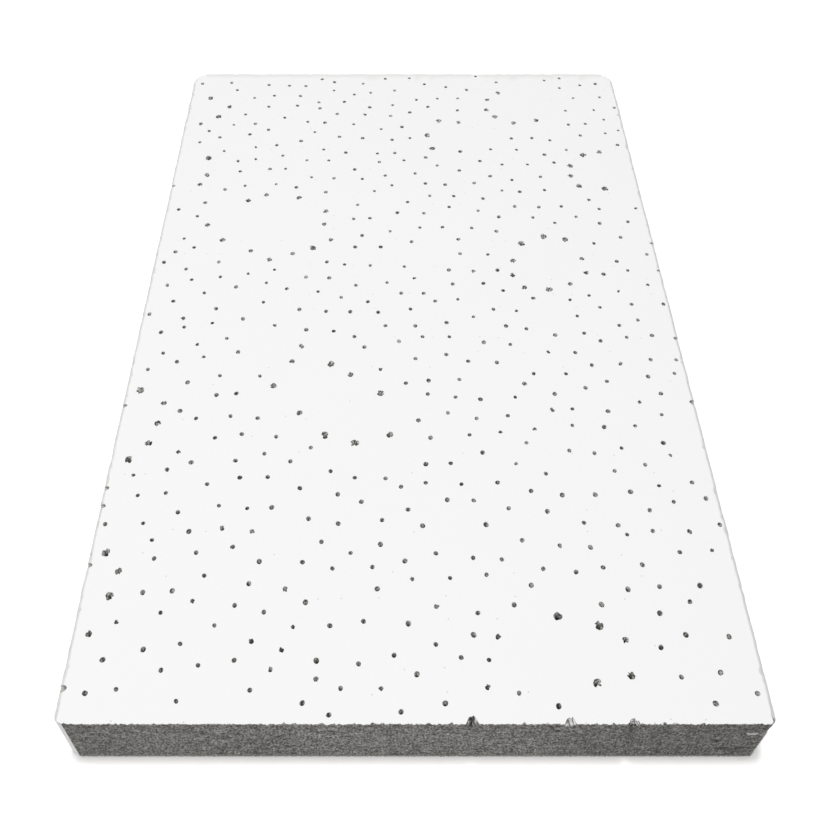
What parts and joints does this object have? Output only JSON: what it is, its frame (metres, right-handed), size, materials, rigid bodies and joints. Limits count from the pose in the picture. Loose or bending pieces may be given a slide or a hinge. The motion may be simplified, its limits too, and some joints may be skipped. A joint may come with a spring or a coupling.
{
  "type": "suspended ceiling tile",
  "caption": "Sample-size piece of mineral-fibre ceiling tile, face up: white painted face with scattered pin perforations, eased edges and a fresh-cut grey front edge.",
  "frame": {"origin": "centre of the back, the face that the piece lies on", "axes": "+Z out of the painted face, -Y out of the fresh-cut front edge, +X along that edge"},
  "size_m": [0.13, 0.21, 0.015],
  "materials": {
    "ceiling_tile": "matte"
  },
  "bodies": {
    "root": {"ceiling_tile": "ceiling_tile"}
  },
  "joints": []
}
